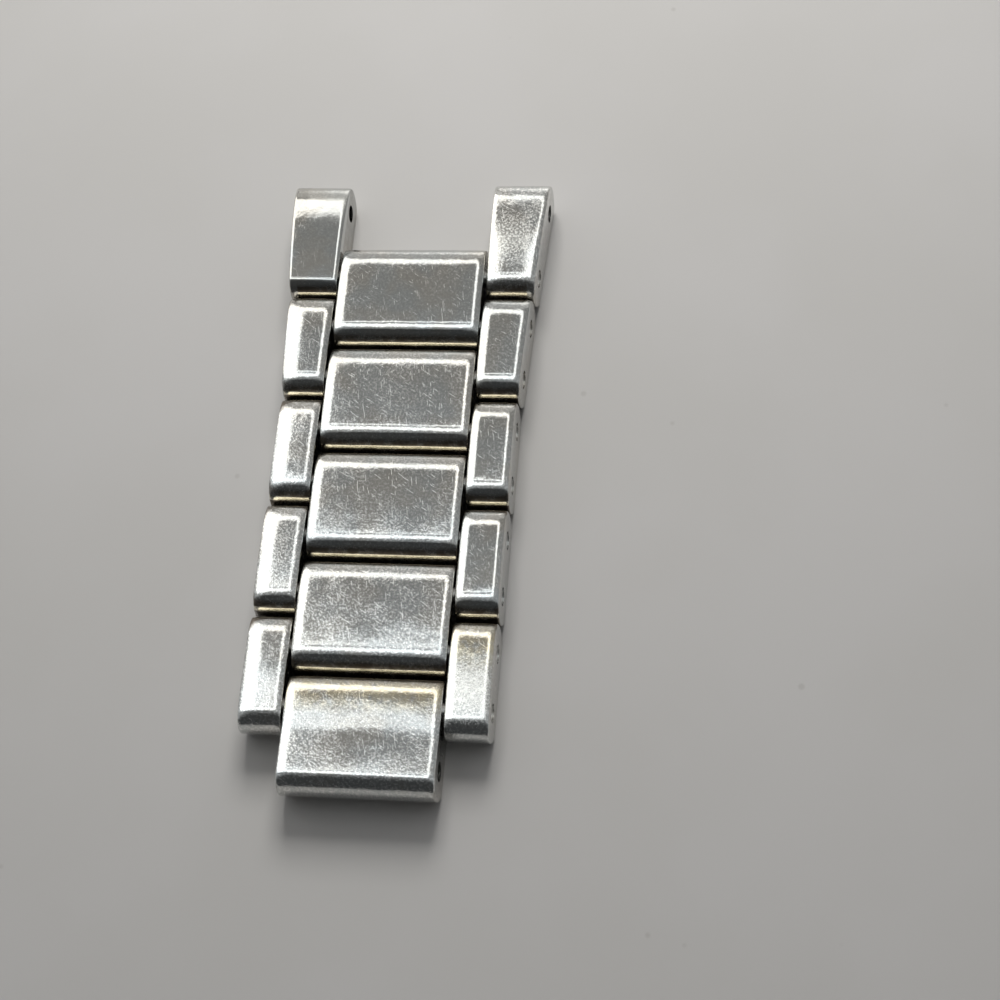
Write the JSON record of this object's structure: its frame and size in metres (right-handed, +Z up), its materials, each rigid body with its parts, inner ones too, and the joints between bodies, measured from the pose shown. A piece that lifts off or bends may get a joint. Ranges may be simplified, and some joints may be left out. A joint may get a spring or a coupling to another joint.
{
  "type": "watch bracelet section",
  "caption": "Hinged steel watch bracelet section: wide centre links between narrow outer links, staggered on pressed cross pins, with a flared forked end.",
  "frame": {"origin": "on the flat underside, half way along the section and half way across it", "axes": "+X across the bracelet along the pins, to the right seen from above with the flared end away; +Y along the bracelet towards the flared forked end; +Z up through the polished faces"},
  "size_m": [0.0182, 0.044, 0.0034],
  "materials": {
    "link_steel": "worn mirror polish with fine scratches",
    "pin_steel": "plain drawn"
  },
  "bodies": {
    "outer_row_1": {"outer_link_1_left": "link_steel", "outer_link_1_right": "link_steel", "hinge_pin_1": "pin_steel"},
    "centre_row_1": {"centre_link_1": "link_steel"},
    "outer_row_2": {"outer_link_2_left": "link_steel", "outer_link_2_right": "link_steel", "hinge_pin_2": "pin_steel", "hinge_pin_3": "pin_steel"},
    "centre_row_2": {"centre_link_2": "link_steel"},
    "outer_row_3": {"outer_link_3_left": "link_steel", "outer_link_3_right": "link_steel", "hinge_pin_4": "pin_steel", "hinge_pin_5": "pin_steel"},
    "centre_row_3": {"centre_link_3": "link_steel"},
    "outer_row_4": {"outer_link_4_left": "link_steel", "outer_link_4_right": "link_steel", "hinge_pin_6": "pin_steel", "hinge_pin_7": "pin_steel"},
    "centre_row_4": {"centre_link_4": "link_steel"},
    "outer_row_5": {"outer_link_5_left": "link_steel", "outer_link_5_right": "link_steel", "hinge_pin_8": "pin_steel", "hinge_pin_9": "pin_steel"},
    "centre_row_5": {"centre_link_5": "link_steel"}
  },
  "joints": [
    {"name": "link_hinge_1", "type": "hinge", "parent": "outer_row_1", "child": "centre_row_1", "pos_m": [0, 0.01495, 0.0017], "axis": [1, 0, 0], "range_deg": [-25, 25]},
    {"name": "link_hinge_2", "type": "hinge", "parent": "centre_row_1", "child": "outer_row_2", "pos_m": [0, 0.01105, 0.0017], "axis": [1, 0, 0], "range_deg": [-25, 25]},
    {"name": "link_hinge_3", "type": "hinge", "parent": "outer_row_2", "child": "centre_row_2", "pos_m": [0, 0.00715, 0.0017], "axis": [1, 0, 0], "range_deg": [-25, 25]},
    {"name": "link_hinge_4", "type": "hinge", "parent": "centre_row_2", "child": "outer_row_3", "pos_m": [0, 0.00325, 0.0017], "axis": [1, 0, 0], "range_deg": [-25, 25]},
    {"name": "link_hinge_5", "type": "hinge", "parent": "outer_row_3", "child": "centre_row_3", "pos_m": [0, -0.00065, 0.0017], "axis": [1, 0, 0], "range_deg": [-25, 25]},
    {"name": "link_hinge_6", "type": "hinge", "parent": "centre_row_3", "child": "outer_row_4", "pos_m": [0, -0.00455, 0.0017], "axis": [1, 0, 0], "range_deg": [-25, 25]},
    {"name": "link_hinge_7", "type": "hinge", "parent": "outer_row_4", "child": "centre_row_4", "pos_m": [0, -0.00845, 0.0017], "axis": [1, 0, 0], "range_deg": [-25, 25]},
    {"name": "link_hinge_8", "type": "hinge", "parent": "centre_row_4", "child": "outer_row_5", "pos_m": [0, -0.01235, 0.0017], "axis": [1, 0, 0], "range_deg": [-25, 25]},
    {"name": "link_hinge_9", "type": "hinge", "parent": "outer_row_5", "child": "centre_row_5", "pos_m": [0, -0.01625, 0.0017], "axis": [1, 0, 0], "range_deg": [-25, 25]}
  ]
}
